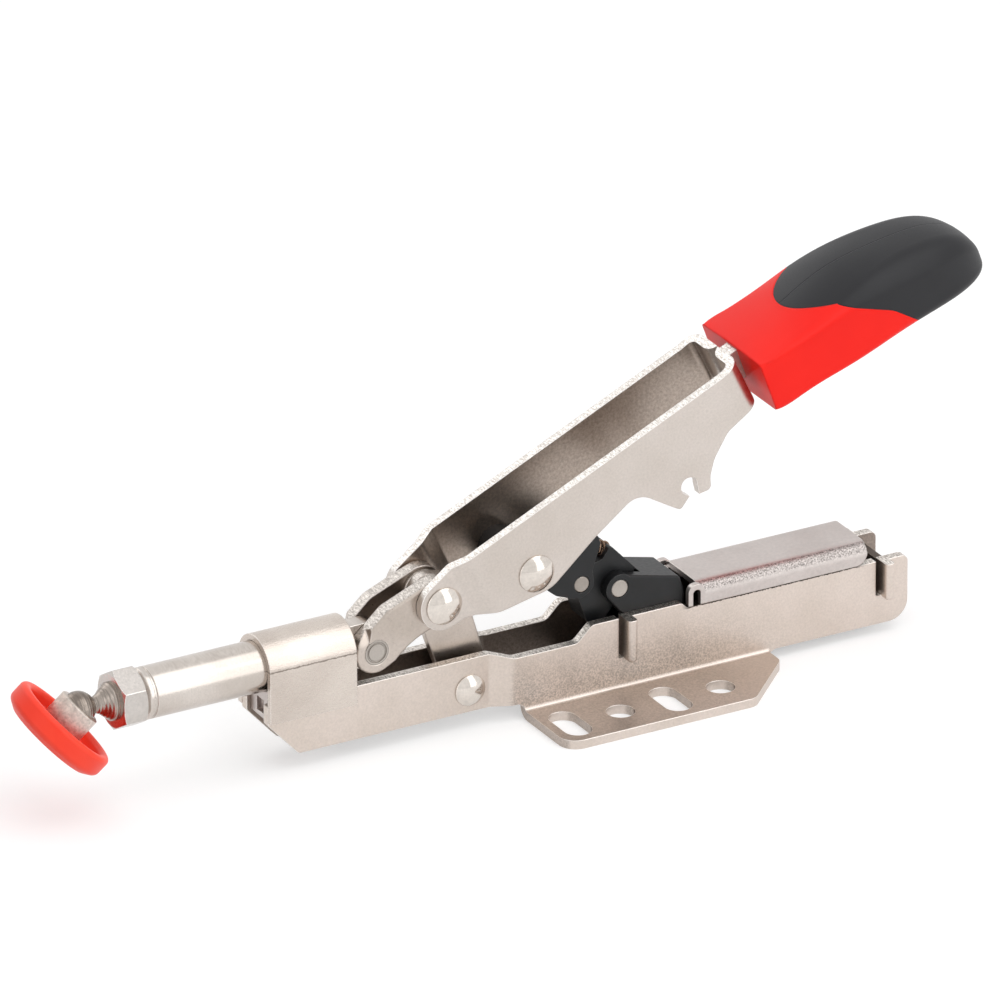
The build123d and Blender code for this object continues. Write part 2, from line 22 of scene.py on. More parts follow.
# ------------------------------------------------------------ body plates
# Two mirrored side walls of 2.3 mm steel sheet, blanked, joggled and bent outward at
# the foot into the drilled flanges. Barrel-plated in satin nickel after pressing, so
# the faces keep a fine grain and the sheared rims are rougher; the rims are painted
# brighter, partly as rubbed plating and partly as painted highlight.
def colour(hex_code):
    """An sRGB hex colour as the linear four values a socket takes."""
    parts = [int(hex_code[i:i + 2], 16) / 255 for i in (1, 3, 5)]
    return [p / 12.92 if p <= 0.04045 else ((p + 0.055) / 1.055) ** 2.4 for p in parts] + [1.0]


def add(tree, kind, inputs, **settings):
    """One node with its settings; an input takes a value or another node's output."""
    node = tree.nodes.new(kind)
    for key, value in settings.items():
        setattr(node, key, value)
    for key, value in inputs.items():
        if isinstance(value, bpy.types.NodeSocket):
            tree.links.new(value, node.inputs[key])
        else:
            node.inputs[key].default_value = value
    return node


def blank_material(name):
    """A new material's tree, its shader and its Object coordinates."""
    mat = bpy.data.materials.new(name)
    mat.use_nodes = True
    tree = mat.node_tree
    shader = tree.nodes["Principled BSDF"]
    place = add(tree, "ShaderNodeTexCoord", {}).outputs["Object"]
    return mat, tree, shader, place


def per_mm(size):
    """Noise scale that gives features of that many millimetres in metre coordinates."""
    return 1000.0 / size


BEVEL_SAMPLES = 6


def rim_lean_mask(tree, radius_mm, low, high):
    """0 on open faces, 1 on rims, from how far a rounded normal leans from the real one."""
    soft = add(tree, "ShaderNodeBevel", {"Radius": radius_mm / 1000}, samples=BEVEL_SAMPLES)
    flat = add(tree, "ShaderNodeNewGeometry", {})
    lean = add(tree, "ShaderNodeVectorMath", {0: soft.outputs[0], 1: flat.outputs["Normal"]},
               operation="DOT_PRODUCT")
    rim = add(tree, "ShaderNodeMapRange",
              {"Value": lean.outputs["Value"], "From Min": high, "From Max": low})
    return soft.outputs[0], rim.outputs[0]


def nickel_plate(name, face, shade, rim_tone, rough, grain_mm, grain_um,
                 stretch=(1, 1, 1), round_mm=0.35, depth=(0.90, 1.06)):
    """Nickel plating over steel: 17 mm clouds of tone, grain and rims in a tone of their own, on
    most pieces paler, partly as rubbed plating and partly as painted highlight. The real grain
    is about 0.1 mm wide, too fine to show, so it is drawn several times coarser."""
    mat, tree, shader, place = blank_material(name)
    run = add(tree, "ShaderNodeMapping", {"Vector": place, "Scale": stretch})
    grain = add(tree, "ShaderNodeTexNoise",
                {"Vector": run.outputs[0], "Scale": per_mm(grain_mm), "Detail": 4.0,
                 "Roughness": 0.65})
    cloud = add(tree, "ShaderNodeTexNoise",
                {"Vector": place, "Scale": per_mm(17), "Detail": 3.0, "Roughness": 0.55})
    blend = add(tree, "ShaderNodeMapRange",
                {"Value": cloud.outputs["Fac"], "From Min": 0.38, "From Max": 0.66})
    base = add(tree, "ShaderNodeMix",
               {"Factor": blend.outputs[0], "A": colour(face), "B": colour(shade)},
               data_type="RGBA")
    fleck = add(tree, "ShaderNodeMapRange",
                {"Value": grain.outputs["Fac"], "From Min": 0.30, "From Max": 0.72,
                 "To Min": depth[0], "To Max": depth[1]})
    grainy = add(tree, "ShaderNodeMix",
                 {"Factor": 1.0, "A": base.outputs["Result"], "B": fleck.outputs[0]},
                 data_type="RGBA", blend_type="MULTIPLY")
    # rims take the rim tone: on most pieces paler than the face, as rubbed plating and as painted
    # highlight
    soft, rim = rim_lean_mask(tree, round_mm, 0.80, 0.985)
    rim_toned = add(tree, "ShaderNodeMix",
               {"Factor": rim, "A": grainy.outputs["Result"], "B": colour(rim_tone)},
               data_type="RGBA")
    gloss = add(tree, "ShaderNodeMapRange",
                {"Value": grain.outputs["Fac"], "From Min": 0.3, "From Max": 0.7,
                 "To Min": rough - 0.04, "To Max": rough + 0.07})
    bump = add(tree, "ShaderNodeBump",
               {"Height": grain.outputs["Fac"], "Normal": soft, "Strength": 1.0,
                "Distance": grain_um * 1e-6})
    shader.inputs["Metallic"].default_value = 1.0
    tree.links.new(rim_toned.outputs["Result"], shader.inputs["Base Color"])
    tree.links.new(gloss.outputs[0], shader.inputs["Roughness"])
    tree.links.new(bump.outputs[0], shader.inputs["Normal"])
    return mat


def finish(mat, *nodes):
    """The named pieces take this material in every slot they have."""
    for name in nodes:
        mesh = cad[name].data
        if not mesh.materials:
            mesh.materials.append(mat)
        for i in range(len(mesh.materials)):
            mesh.materials[i] = mat


FLANGE_TOP = 0.0028        # just above the 2.3 mm flange
TEAR_MM = 0.38             # real tears are finer; drawn this wide so that they show
TEAR_DEPTH = 90e-6


def blanked(mat, torn_dark, torn_bright_highlight, inner, inner_shade_share, orange_peel=None,
            peel_um=0, floor_edge=-1.0):
    """Pressed sheet: torn blanked rims, speckled as tears with painted highlight, painted shade on
    the inner side and the flange top, and, where the sheet was drawn, orange peel between four
    limits along X and Z in millimetres, its relief also painted in as light and shade. No rim is
    torn below floor_edge."""
    tree = mat.node_tree
    shader = tree.nodes["Principled BSDF"]
    place = add(tree, "ShaderNodeTexCoord", {})
    face = add(tree, "ShaderNodeSeparateXYZ", {0: place.outputs["Normal"]})
    spot = add(tree, "ShaderNodeSeparateXYZ", {0: place.outputs["Object"]})
    across = add(tree, "ShaderNodeMath", {0: face.outputs["Y"]}, operation="ABSOLUTE")
    rim = add(tree, "ShaderNodeMapRange",
              {"Value": across.outputs[0], "From Min": 0.45, "From Max": 0.60, "To Min": 1.0,
               "To Max": 0.0})
    above = add(tree, "ShaderNodeMapRange",
                {"Value": spot.outputs["Z"], "From Min": floor_edge / 1000,
                 "From Max": (floor_edge + 0.4) / 1000})
    rim = add(tree, "ShaderNodeMath", {0: rim.outputs[0], 1: above.outputs[0]},
              operation="MULTIPLY")
    # ends that face along the clamp were struck flat, not torn
    along = add(tree, "ShaderNodeMath", {0: face.outputs["X"]}, operation="ABSOLUTE")
    struck = add(tree, "ShaderNodeMapRange",
                 {"Value": along.outputs[0], "From Min": 0.75, "From Max": 0.9, "To Min": 1.0,
                  "To Max": 0.15})
    rim = add(tree, "ShaderNodeMath", {0: rim.outputs[0], 1: struck.outputs[0]},
              operation="MULTIPLY")
    # tears run across the thickness; the torn rims are speckled dark and near white, tear
    # texture with painted broken highlight
    run = add(tree, "ShaderNodeMapping",
              {"Vector": place.outputs["Object"], "Scale": (1, 0.35, 1)})
    tear = add(tree, "ShaderNodeTexNoise",
               {"Vector": run.outputs[0], "Scale": per_mm(TEAR_MM), "Detail": 4.0,
                "Roughness": 0.75})
    split = add(tree, "ShaderNodeMapRange",
                {"Value": tear.outputs["Fac"], "From Min": 0.36, "From Max": 0.64})
    torn_and_highlit = add(tree, "ShaderNodeMix",
               {"Factor": split.outputs[0], "A": colour(torn_dark), "B": colour(torn_bright_highlight)},
               data_type="RGBA")
    # painted shade: the inner side, which looks at the middle plane of the clamp, is blended
    # to the darker speckled inner colour for the shade between the sheets
    side = add(tree, "ShaderNodeMath", {0: face.outputs["Y"], 1: spot.outputs["Y"]},
               operation="MULTIPLY")
    inner_shade_mask = add(tree, "ShaderNodeMapRange",
                 {"Value": side.outputs[0], "From Min": -0.003, "From Max": -0.001,
                  "To Min": inner_shade_share, "To Max": 0.0})
    speck = add(tree, "ShaderNodeTexNoise",
                {"Vector": place.outputs["Object"], "Scale": per_mm(0.7), "Detail": 3.0,
                 "Roughness": 0.7})
    speckled = add(tree, "ShaderNodeMapRange",
                   {"Value": speck.outputs["Fac"], "From Min": 0.3, "From Max": 0.7,
                    "To Min": 0.62, "To Max": 1.25})
    inner_shade_colour = add(tree, "ShaderNodeMix",
               {"Factor": 1.0, "A": colour(inner), "B": speckled.outputs[0]}, data_type="RGBA",
               blend_type="MULTIPLY")
    rim_wear_highlight_mix = shader.inputs["Base Color"].links[0].from_node
    before = rim_wear_highlight_mix.inputs["A"].links[0].from_socket
    inner_shaded = add(tree, "ShaderNodeMix",
                {"Factor": inner_shade_mask.outputs[0], "A": before, "B": inner_shade_colour.outputs["Result"]},
                data_type="RGBA")
    last = add(tree, "ShaderNodeMix",
               {"Factor": rim.outputs[0], "A": inner_shaded.outputs["Result"],
                "B": torn_and_highlit.outputs["Result"]}, data_type="RGBA")
    rugged = add(tree, "ShaderNodeMath", {0: tear.outputs["Fac"], 1: rim.outputs[0]},
                 operation="MULTIPLY")
    bumped = shader.inputs["Normal"].links[0].from_socket
    relief = add(tree, "ShaderNodeBump",
                 {"Height": rugged.outputs[0], "Normal": bumped, "Strength": 1.0,
                  "Distance": TEAR_DEPTH})
    if orange_peel:
        left, right, low, high = [v / 1000 for v in orange_peel]
        start = add(tree, "ShaderNodeMapRange",
                    {"Value": spot.outputs["X"], "From Min": left, "From Max": left + 0.002})
        fade = add(tree, "ShaderNodeMapRange",
                   {"Value": spot.outputs["X"], "From Min": right - 0.03, "From Max": right,
                    "To Min": 1.0, "To Max": 0.0})
        lower = add(tree, "ShaderNodeMapRange",
                    {"Value": spot.outputs["Z"], "From Min": low, "From Max": high, "To Min": 1.0,
                     "To Max": 0.15})
        drawn = add(tree, "ShaderNodeMath", {0: start.outputs[0], 1: fade.outputs[0]},
                    operation="MULTIPLY")
        drawn = add(tree, "ShaderNodeMath", {0: drawn.outputs[0], 1: lower.outputs[0]},
                    operation="MULTIPLY")
        # the flange was held flat in the die, so its peel is faint and its front rim has none
        held = add(tree, "ShaderNodeMapRange",
                   {"Value": spot.outputs["Z"], "From Min": FLANGE_TOP, "From Max": 0.0045,
                    "To Min": 0.45, "To Max": 1.0})
        front = add(tree, "ShaderNodeMapRange",
                    {"Value": across.outputs[0], "From Min": 0.55, "From Max": 0.75,
                     "To Min": 0.45, "To Max": 0.0})
        on_flange = add(tree, "ShaderNodeMath", {0: spot.outputs["Z"], 1: FLANGE_TOP},
                        operation="LESS_THAN")
        faint = add(tree, "ShaderNodeMix",
                    {"Factor": on_flange.outputs[0], "A": held.outputs[0], "B": front.outputs[0]},
                    data_type="FLOAT")
        drawn = add(tree, "ShaderNodeMath", {0: drawn.outputs[0], 1: faint.outputs[0]},
                    operation="MULTIPLY")
        # the grains of drawn sheet swell to about 0.4 mm
        peel = add(tree, "ShaderNodeTexNoise",
                   {"Vector": place.outputs["Object"], "Scale": per_mm(0.42), "Detail": 2.0,
                    "Roughness": 0.55})
        grained = add(tree, "ShaderNodeMath", {0: peel.outputs["Fac"], 1: drawn.outputs[0]},
                      operation="MULTIPLY")
        relief = add(tree, "ShaderNodeBump",
                     {"Height": grained.outputs[0], "Normal": relief.outputs[0], "Strength": 1.0,
                      "Distance": peel_um * 1e-6})
        duller = add(tree, "ShaderNodeMath",
                     {0: drawn.outputs[0], 1: 0.16,
                      2: shader.inputs["Roughness"].links[0].from_socket},
                     operation="MULTIPLY_ADD")
        tree.links.new(duller.outputs[0], shader.inputs["Roughness"])
        # painted shade: on the flange, faces not turned across the clamp are blended 0.42 of the
        # way to the inner shade colour
        flange_top_shade = add(tree, "ShaderNodeMapRange",
                         {"Value": across.outputs[0], "From Min": 0.55, "From Max": 0.75,
                          "To Min": 0.42, "To Max": 0.0})
        flange_top_shade = add(tree, "ShaderNodeMath",
                         {0: flange_top_shade.outputs[0], 1: on_flange.outputs[0]},
                         operation="MULTIPLY")
        last = add(tree, "ShaderNodeMix",
                   {"Factor": flange_top_shade.outputs[0], "A": last.outputs["Result"],
                    "B": inner_shade_colour.outputs["Result"]}, data_type="RGBA")
        # painted light and shade of the orange-peel relief: where the sheet was drawn, the peel
        # noise darkens and lightens the colour
        pits = add(tree, "ShaderNodeMapRange",
                   {"Value": peel.outputs["Fac"], "From Min": 0.34, "From Max": 0.64,
                    "To Min": 0.62, "To Max": 1.16})
        peel_relief_shade = add(tree, "ShaderNodeMix",
                    {"Factor": drawn.outputs[0], "A": colour("#ffffff"), "B": pits.outputs[0]},
                    data_type="RGBA")
        last = add(tree, "ShaderNodeMix",
                   {"Factor": 1.0, "A": last.outputs["Result"], "B": peel_relief_shade.outputs["Result"]},
                   data_type="RGBA", blend_type="MULTIPLY")
    tree.links.new(last.outputs["Result"], rim_wear_highlight_mix.inputs["A"])
    tree.links.new(relief.outputs[0], shader.inputs["Normal"])


# satin nickel on pressed sheet: warm grey, soft gloss, bright rims of rubbed plating and painted
# highlight
satin_nickel = nickel_plate("pressed_sheet_satin_nickel", "#dbcfc6", "#d3c7bd", "#fffaf4", 0.33,
                            0.55, 9)
blanked(satin_nickel, "#857b73", "#fff9f2", "#877a71", 0.85, (-31, 48, 3, 17), 45, 3.2)
# painted shade: beside the cover the blanked top rim gets a dark ragged band, about half a
# millimetre deep, for the shade under the cover's edge
COVER_SHADE_LINE = 0.01925
COVER_SHADE_FROM, COVER_SHADE_TO = 0.0165, 0.068
RAGGED_MM, RAGGED_DEPTH = 0.8, 0.0011
tree = satin_nickel.node_tree
rim_wear_highlight_mix = tree.nodes["Principled BSDF"].inputs["Base Color"].links[0].from_node
place = add(tree, "ShaderNodeTexCoord", {}).outputs["Object"]
spot = add(tree, "ShaderNodeSeparateXYZ", {0: place})
ragged = add(tree, "ShaderNodeTexNoise",
             {"Vector": place, "Scale": per_mm(RAGGED_MM), "Detail": 4.0, "Roughness": 0.75})
level = add(tree, "ShaderNodeMath",
            {0: ragged.outputs["Fac"], 1: RAGGED_DEPTH, 2: spot.outputs["Z"]},
            operation="MULTIPLY_ADD")
cover_shade = add(tree, "ShaderNodeMapRange",
           {"Value": level.outputs[0], "From Min": COVER_SHADE_LINE, "From Max": COVER_SHADE_LINE + 0.0002})
from_x = add(tree, "ShaderNodeMapRange",
             {"Value": spot.outputs["X"], "From Min": COVER_SHADE_FROM, "From Max": COVER_SHADE_FROM + 0.002})
to_x = add(tree, "ShaderNodeMapRange",
           {"Value": spot.outputs["X"], "From Min": COVER_SHADE_TO - 0.004, "From Max": COVER_SHADE_TO,
            "To Min": 1.0, "To Max": 0.0})
cover_shade = add(tree, "ShaderNodeMath", {0: cover_shade.outputs[0], 1: from_x.outputs[0]},
           operation="MULTIPLY")
cover_shade = add(tree, "ShaderNodeMath", {0: cover_shade.outputs[0], 1: to_x.outputs[0]}, operation="MULTIPLY")
cover_shaded = add(tree, "ShaderNodeMix",
             {"Factor": cover_shade.outputs[0], "A": rim_wear_highlight_mix.outputs["Result"], "B": colour("#3b332e")},
             data_type="RGBA")
tree.links.new(cover_shaded.outputs["Result"], tree.nodes["Principled BSDF"].inputs["Base Color"])
finish(satin_nickel, "body_plate_right", "body_plate_left")

# ------------------------------------------------------------ collar
# Saddle of 1.5 mm sheet wrapped over the plunger and welded to the plates. Linished
# along its length after welding, which leaves fine straight lines along the plunger and
# a tone a little brighter than the plates.
linished = nickel_plate("linished_collar_nickel", "#d8cec5", "#cbc0b7", "#f6f0ea", 0.27, 0.42, 7,
                        stretch=(0.35, 1, 1), depth=(0.94, 1.03))
SCORE_Z = 0.0278
STROKE_DEPTH = 60e-6
tree = linished.node_tree
shader = tree.nodes["Principled BSDF"]
place = add(tree, "ShaderNodeTexCoord", {}).outputs["Object"]
spot = add(tree, "ShaderNodeSeparateXYZ", {0: place})
# the bend over the plunger is scored by the die: rough above a ragged line, smooth below
ragged = add(tree, "ShaderNodeTexNoise",
             {"Vector": place, "Scale": per_mm(0.9), "Detail": 3.0, "Roughness": 0.7})
level = add(tree, "ShaderNodeMath", {0: ragged.outputs["Fac"], 1: 0.0008, 2: spot.outputs["Z"]},
            operation="MULTIPLY_ADD")
bent = add(tree, "ShaderNodeMapRange",
           {"Value": level.outputs[0], "From Min": SCORE_Z + 0.0004, "From Max": SCORE_Z + 0.001})
line = add(tree, "ShaderNodeMapRange",
           {"Value": level.outputs[0], "From Min": SCORE_Z, "From Max": SCORE_Z + 0.0002})
gone = add(tree, "ShaderNodeMapRange",
           {"Value": level.outputs[0], "From Min": SCORE_Z + 0.0003, "From Max": SCORE_Z + 0.0005,
            "To Min": 1.0, "To Max": 0.0})
score = add(tree, "ShaderNodeMath", {0: line.outputs[0], 1: gone.outputs[0]},
            operation="MULTIPLY")
stroke = add(tree, "ShaderNodeMapping", {"Vector": place, "Scale": (0.3, 1, 1)})
strokes = add(tree, "ShaderNodeTexNoise",
              {"Vector": stroke.outputs[0], "Scale": per_mm(0.5), "Detail": 3.0, "Roughness": 0.7})
rough_band = add(tree, "ShaderNodeMath", {0: strokes.outputs["Fac"], 1: bent.outputs[0]},
                 operation="MULTIPLY")
carved = add(tree, "ShaderNodeBump",
             {"Height": rough_band.outputs[0],
              "Normal": shader.inputs["Normal"].links[0].from_socket, "Strength": 1.0,
              "Distance": STROKE_DEPTH})
tree.links.new(carved.outputs[0], shader.inputs["Normal"])
was = shader.inputs["Base Color"].links[0].from_socket
scored = add(tree, "ShaderNodeMix",
             {"Factor": score.outputs[0], "A": was, "B": colour("#857b73")}, data_type="RGBA")
tree.links.new(scored.outputs["Result"], shader.inputs["Base Color"])
finish(linished, "collar")

# ------------------------------------------------------------ cover and guide block
# Pressed channel of 1.5 mm sheet over the slide, set on the plates by an arched hook at
# the front of each wall, and the block under the plunger that joins the plates. Both are
# smooth nickel, a little cooler and plainer than the plates.
cover_nickel = nickel_plate("smooth_cover_nickel", "#ccc4c0", "#c2b9b5", "#e6dfd9", 0.38, 0.9, 4)
# the bends are stretched, so the plating there breaks up into grey speckles, drawn 0.38 mm wide
tree = cover_nickel.node_tree
shader = tree.nodes["Principled BSDF"]
place = add(tree, "ShaderNodeTexCoord", {})
face = add(tree, "ShaderNodeSeparateXYZ", {0: place.outputs["Normal"]})
across = add(tree, "ShaderNodeMath", {0: face.outputs["Y"]}, operation="ABSOLUTE")
inward = add(tree, "ShaderNodeMapRange",
             {"Value": across.outputs[0], "From Min": 0.30, "From Max": 0.45})
outward = add(tree, "ShaderNodeMapRange",
              {"Value": across.outputs[0], "From Min": 0.90, "From Max": 0.985, "To Min": 1.0,
               "To Max": 0.0})
bend = add(tree, "ShaderNodeMath", {0: inward.outputs[0], 1: outward.outputs[0]},
           operation="MULTIPLY")
speck = add(tree, "ShaderNodeTexNoise",
            {"Vector": place.outputs["Object"], "Scale": per_mm(0.38), "Detail": 3.0,
             "Roughness": 0.7})
speckled = add(tree, "ShaderNodeMapRange",
               {"Value": speck.outputs["Fac"], "From Min": 0.36, "From Max": 0.64, "To Min": 0.28,
                "To Max": 1.0})
stretched = add(tree, "ShaderNodeMix",
                {"Factor": bend.outputs[0], "A": colour("#ffffff"), "B": speckled.outputs[0]},
                data_type="RGBA")
was = shader.inputs["Base Color"].links[0].from_socket
broken = add(tree, "ShaderNodeMix", {"Factor": 1.0, "A": was, "B": stretched.outputs["Result"]},
             data_type="RGBA", blend_type="MULTIPLY")
tree.links.new(broken.outputs["Result"], shader.inputs["Base Color"])
finish(cover_nickel, "cover", "guide_block")

# ------------------------------------------------------------ inner pieces
# Floor of the slide with its end stop, and the two spacers on the body rivet: plain steel
# between the plates, dull, and painted dark brown for the shade that falls between them.
shaded_inner_steel = nickel_plate("inner_steel_painted_shade", "#6a5f57", "#4f463f", "#8b8077", 0.45, 0.6, 10)
finish(shaded_inner_steel, "slide_channel", "rocker_spacer_right", "rocker_spacer_left")

# ------------------------------------------------------------ rivets
# Three cold-headed steel rivets with button heads, set through the plates, cheeks and
# links that turn on them. The snap tool leaves the domes mirror bright.
dome = nickel_plate("cold_headed_rivet", "#e2dad2", "#d8d0c8", "#efe8e1", 0.11, 1.2, 2)
finish(dome, "front_rivet", "rear_rivet", "body_rivet")

# ------------------------------------------------------------ plunger and lock nut
# Centreless-ground steel bar that slides in the collar, and a cut hexagon nut that locks
# the spindle in its end. Both are bright nickel plated; the bar keeps faint grinding lines
# across it, and the nut's corners are painted pale as rubbed plating and painted highlight.
ground_bar = nickel_plate("ground_bar_nickel", "#d4ccc5", "#c5bcb4", "#e6e0da", 0.20, 0.4, 2,
                          stretch=(1, 0.05, 1))
finish(ground_bar, "plunger")
cut_nut = nickel_plate("cut_nut_nickel", "#cbc5c0", "#beb7b1", "#fffdfa", 0.20, 0.7, 5)
finish(cut_nut, "lock_nut")

# ------------------------------------------------------------ ball spindle
# Turned M8 steel screw with a waisted neck and a ball end, screwed into the plunger.
# Left thinly plated, so it is darker than the plunger and shows the tool's rings.
turned = nickel_plate("turned_spindle_steel", "#b5aaa1", "#8f847b", "#d6cdc6", 0.22, 0.45, 14,
                      stretch=(1, 0.08, 0.08), depth=(0.55, 1.15))
# the tool's rings are a tenth or two apart and are drawn 0.7 mm apart so that they show
RING_PITCH = 0.0007
WAVE_PERIOD = 0.314        # a wave texture at scale 1 repeats at this length
RING_DEPTH = 30e-6
tree = turned.node_tree
shader = tree.nodes["Principled BSDF"]
place = add(tree, "ShaderNodeTexCoord", {}).outputs["Object"]
rings = add(tree, "ShaderNodeTexWave",
            {"Vector": place, "Scale": WAVE_PERIOD / RING_PITCH, "Distortion": 1.2, "Detail": 2.0,
             "Detail Scale": 2.0}, bands_direction="X")
cut = add(tree, "ShaderNodeBump",
          {"Height": rings.outputs["Fac"], "Normal": shader.inputs["Normal"].links[0].from_socket,
           "Strength": 1.0, "Distance": RING_DEPTH})
tree.links.new(cut.outputs[0], shader.inputs["Normal"])
finish(turned, "ball_spindle")

# ------------------------------------------------------------ swivel foot
# Turned steel socket and disc in one, its mouth rolled over the ball so that it swivels.
# Satin nickel plated over a coarse turned face, so it looks speckled.
socket_steel = nickel_plate("grained_socket_nickel", "#e6dbd2", "#d0c4ba", "#fbf5ef", 0.34, 0.7,
                            24, depth=(0.66, 1.12))
finish(socket_steel, "swivel_foot")


# ------------------------------------------------------------ foot cap
# Cup of soft PVC in signal red, moulded and pressed over the foot's disc. The skin is
# satin and faintly pitted, and the lips are round.
SEAM_DEPTH = 120e-6


def plastic(name, face, shade, rough, pit_mm, pit_um, blotch_mm, specular, round_mm, seam_mm=0.0):
    """Moulded plastic: near-even colour, softened rims and a skin pitted by the mould,
    drawn several times coarser than the real one so that it shows."""
    mat, tree, shader, place = blank_material(name)
    pits = add(tree, "ShaderNodeTexNoise",
               {"Vector": place, "Scale": per_mm(pit_mm), "Detail": 3.0, "Roughness": 0.6})
    blotch = add(tree, "ShaderNodeTexNoise",
                 {"Vector": place, "Scale": per_mm(blotch_mm), "Detail": 2.0})
    blend = add(tree, "ShaderNodeMapRange",
                {"Value": blotch.outputs["Fac"], "From Min": 0.35, "From Max": 0.65})
    base = add(tree, "ShaderNodeMix",
               {"Factor": blend.outputs[0], "A": colour(face), "B": colour(shade)},
               data_type="RGBA")
    gloss = add(tree, "ShaderNodeMapRange",
                {"Value": pits.outputs["Fac"], "From Min": 0.3, "From Max": 0.7,
                 "To Min": rough - 0.04, "To Max": rough + 0.05})
    soft = add(tree, "ShaderNodeBevel", {"Radius": round_mm / 1000}, samples=BEVEL_SAMPLES)
    bump = add(tree, "ShaderNodeBump",
               {"Height": pits.outputs["Fac"], "Normal": soft.outputs[0], "Strength": 1.0,
                "Distance": pit_um * 1e-6})
    if seam_mm:
        # the mould closes on the middle plane and leaves a hair line there
        spot = add(tree, "ShaderNodeSeparateXYZ", {0: place})
        aside = add(tree, "ShaderNodeMath", {0: spot.outputs["Y"]}, operation="ABSOLUTE")
        line = add(tree, "ShaderNodeMapRange",
                   {"Value": aside.outputs[0], "From Min": 0.0, "From Max": seam_mm / 1000})
        bump = add(tree, "ShaderNodeBump",
                   {"Height": line.outputs[0], "Normal": bump.outputs[0], "Strength": 1.0,
                    "Distance": SEAM_DEPTH})
    shader.inputs["Specular IOR Level"].default_value = specular
    tree.links.new(base.outputs["Result"], shader.inputs["Base Color"])
    tree.links.new(gloss.outputs[0], shader.inputs["Roughness"])
    tree.links.new(bump.outputs[0], shader.inputs["Normal"])
    return mat


cap_red = plastic("soft_pvc_cap_red", "#ff4a33", "#fc412c", 0.42, 0.5, 5, 9, 0.3, 0.6)
finish(cap_red, "foot_cap")

# ------------------------------------------------------------ toggle links, rocker, washers
# Pressed steel links that join the handle to the plunger, with the rocker and washers
# between them on the front rivet. Plated like the plates; tumbling rounds their rims.
link_nickel = nickel_plate("tumbled_link_nickel", "#c9beb5", "#b9aea4", "#e3dad2", 0.30, 0.6, 10,
                           round_mm=0.6)
blanked(link_nickel, "#918a84", "#e6dfd8", "#7d7067", 0.7)
finish(link_nickel, "toggle_link_right", "toggle_link_left", "rocker", "rocker_washer_right",
       "rocker_washer_left")

# ------------------------------------------------------------ flush pins
# Plain steel cross pins, fitted through the links, levers and carriage and ground flush
# with them. Their ends are bare steel with a pale, even grain.
pin_steel = nickel_plate("flush_ground_pin", "#b9b2ab", "#9d958d", "#8d857d", 0.40, 0.45, 16)
finish(pin_steel, "link_pin", "knee_pin", "carriage_pin")

# ------------------------------------------------------------ handle cheeks
# Two mirrored cheeks of 2.3 mm steel sheet, pressed, joggled at the nose and folded
# together at the rear into the tang of the grip. Plated like the plates, with rims painted
# paler as rubbed plating and painted highlight.
cheek_nickel = nickel_plate("pressed_cheek_nickel", "#d2c9c2", "#cbc2ba", "#fffdfa", 0.32, 0.6,
                            10)
blanked(cheek_nickel, "#b4aba3", "#fffcf8", "#a29387", 0.8)
finish(cheek_nickel, "handle_cheek_right", "handle_cheek_left")

# ------------------------------------------------------------ grip
# Hard red ABS core moulded on the tang, and a soft black skin moulded over it in a second
# shot. The core has a low shine; the skin is matt, with a hair line where the mould closed.
core_red = plastic("moulded_abs_red", "#f61b0e", "#f2180c", 0.40, 0.35, 3, 16, 0.25, 0.8)
finish(core_red, "grip_core")
soft_black = plastic("soft_touch_tpe_black", "#1d1d20", "#19191c", 0.44, 0.3, 5, 12, 0.35, 0.5,
                     seam_mm=0.22)
finish(soft_black, "grip_overmould")


# ------------------------------------------------------------ blackened thrust links
# Hardened links of the self-adjusting thrust: machined steel, blackened in hot salts,
# rubbed to bare metal along the rims that work.
OXIDE_GRAIN_MM = 0.35


def blackened(name, face, shade, bare):
    """Black oxide over machined steel: near-even black, rims rubbed to bare metal. The
    machining grain is drawn coarser than the real one so that it shows."""
    mat, tree, shader, place = blank_material(name)
    run = add(tree, "ShaderNodeMapping", {"Vector": place, "Scale": (0.15, 1, 1)})
    grain = add(tree, "ShaderNodeTexNoise",
                {"Vector": run.outputs[0], "Scale": per_mm(OXIDE_GRAIN_MM), "Detail": 4.0,
                 "Roughness": 0.65})
    cloud = add(tree, "ShaderNodeTexNoise", {"Vector": place, "Scale": per_mm(5), "Detail": 3.0})
    blend = add(tree, "ShaderNodeMapRange",
                {"Value": cloud.outputs["Fac"], "From Min": 0.35, "From Max": 0.65})
    base = add(tree, "ShaderNodeMix",
               {"Factor": blend.outputs[0], "A": colour(face), "B": colour(shade)},
               data_type="RGBA")
    soft, rim = rim_lean_mask(tree, 0.25, 0.80, 0.97)
    part = add(tree, "ShaderNodeMapRange",
               {"Value": grain.outputs["Fac"], "From Min": 0.42, "From Max": 0.62})
    rub = add(tree, "ShaderNodeMath", {0: rim, 1: part.outputs[0]}, operation="MULTIPLY")
    rim_toned = add(tree, "ShaderNodeMix",
               {"Factor": rub.outputs[0], "A": base.outputs["Result"], "B": colour(bare)},
               data_type="RGBA")
    bump = add(tree, "ShaderNodeBump",
               {"Height": grain.outputs["Fac"], "Normal": soft, "Strength": 1.0, "Distance": 6e-6})
    gloss = add(tree, "ShaderNodeMapRange",
                {"Value": grain.outputs["Fac"], "From Min": 0.3, "From Max": 0.7, "To Min": 0.34,
                 "To Max": 0.48})
    shader.inputs["Specular IOR Level"].default_value = 0.4
    tree.links.new(rim_toned.outputs["Result"], shader.inputs["Base Color"])
    tree.links.new(gloss.outputs[0], shader.inputs["Roughness"])
    tree.links.new(bump.outputs[0], shader.inputs["Normal"])
    return mat


